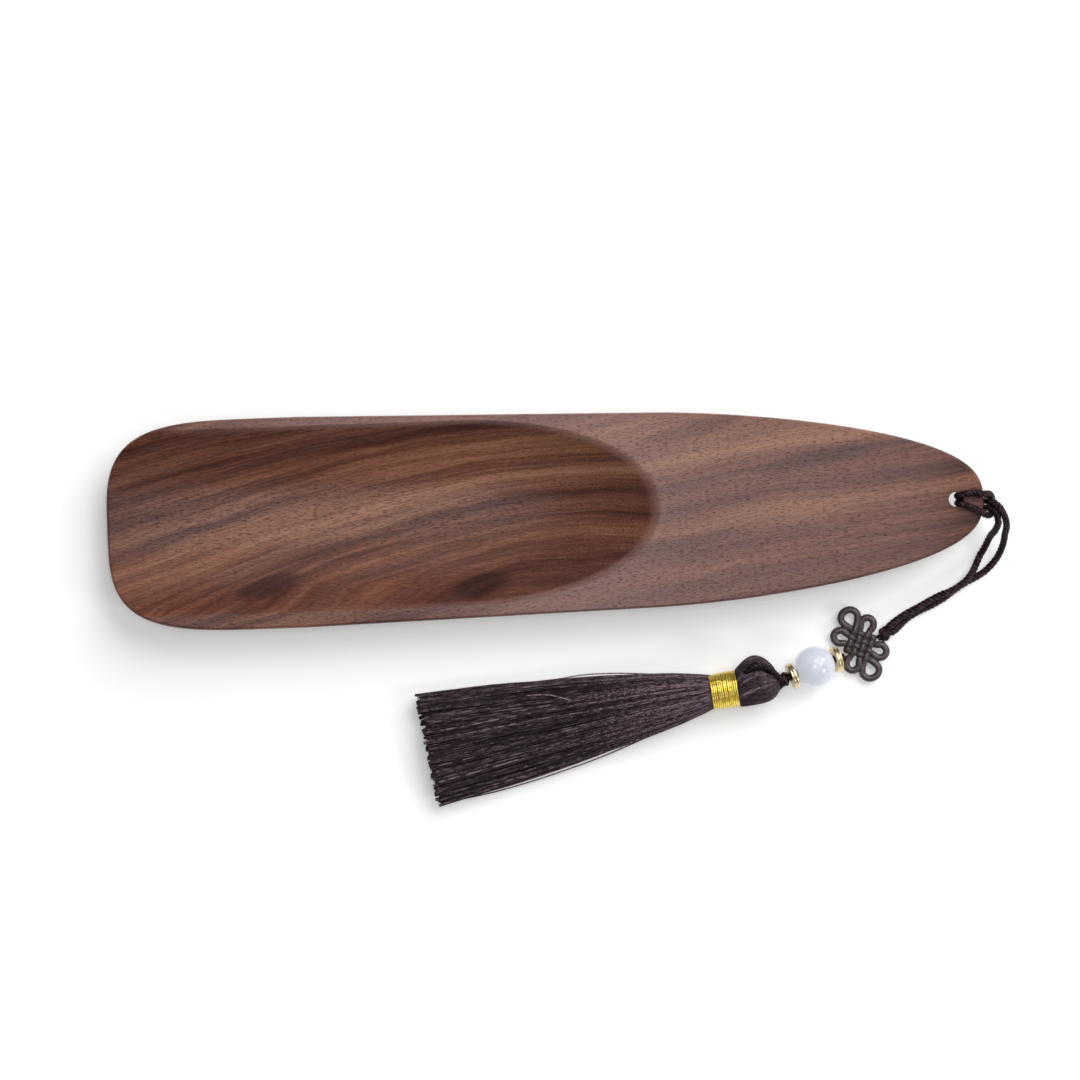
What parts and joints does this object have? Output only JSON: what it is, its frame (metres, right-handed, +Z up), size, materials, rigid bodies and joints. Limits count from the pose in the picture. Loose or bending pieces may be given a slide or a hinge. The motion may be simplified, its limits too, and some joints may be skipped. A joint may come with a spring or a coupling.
{
  "type": "tea scoop",
  "caption": "Carved wooden tea scoop with an open hollow and a flat handle, its pierced tip carrying a cord with a woven charm, a bead between gilt spacers and a silk tassel.",
  "frame": {"origin": "bottom centre of the scoop's bounding box, on the surface that it rests on", "axes": "+X from the open mouth to the pierced tip, +Y across the scoop, +Z up, out of the hollow"},
  "size_m": [0.1749, 0.075, 0.0119],
  "materials": {
    "walnut": "satin oiled walnut",
    "cord": "twisted dark satin cord",
    "charm": "satin moulded resin",
    "gilt": "polished gilt",
    "bead": "polished milky bead",
    "silk": "dark silk thread",
    "gold_thread": "metallic gold thread"
  },
  "bodies": {
    "scoop": {"scoop_body": "walnut", "cord_hitch": "cord"},
    "hanging_cord": {"strand_inner": "cord", "strand_outer": "cord", "top_knot": "cord"},
    "charm": {"endless_knot_charm": "charm", "bead_cord": "cord", "lower_knot": "cord"},
    "upper_spacer": {"upper_spacer": "gilt"},
    "bead": {"bead": "bead"},
    "lower_spacer": {"lower_spacer": "gilt"},
    "tassel": {"tassel_loop": "cord", "tassel_head": "silk", "gold_binding": "gold_thread", "skirt_upper": "silk", "skirt_lower": "silk"}
  },
  "joints": [
    {"name": "cord_swing", "type": "hinge", "parent": "scoop", "child": "hanging_cord", "pos_m": [0.08765, -0.00115, 0.00997], "axis": [0, 0, 1], "range_deg": [-4, 95]},
    {"name": "charm_lift", "type": "hinge", "parent": "hanging_cord", "child": "charm", "pos_m": [0.06329, -0.02643, 0.00134], "axis": [-0.342, 0.9397, 0], "range_deg": [-60, 60]},
    {"name": "upper_spacer_spin", "type": "hinge", "parent": "charm", "child": "upper_spacer", "pos_m": [0.05569, -0.03027, 0.00285], "axis": [0.9285, 0.2662, -0.2588], "continuous": true},
    {"name": "bead_spin", "type": "hinge", "parent": "charm", "child": "bead", "pos_m": [0.0514, -0.0315, 0.00405], "axis": [-0.9318, -0.3087, 0.191], "continuous": true},
    {"name": "lower_spacer_spin", "type": "hinge", "parent": "charm", "child": "lower_spacer", "pos_m": [0.0471, -0.03312, 0.00461], "axis": [-0.9291, -0.3492, 0.1219], "continuous": true},
    {"name": "tassel_swing", "type": "hinge", "parent": "charm", "child": "tassel", "pos_m": [0.04546, -0.03373, 0.00483], "axis": [0, 0, 1], "range_deg": [-6, 45]}
  ]
}
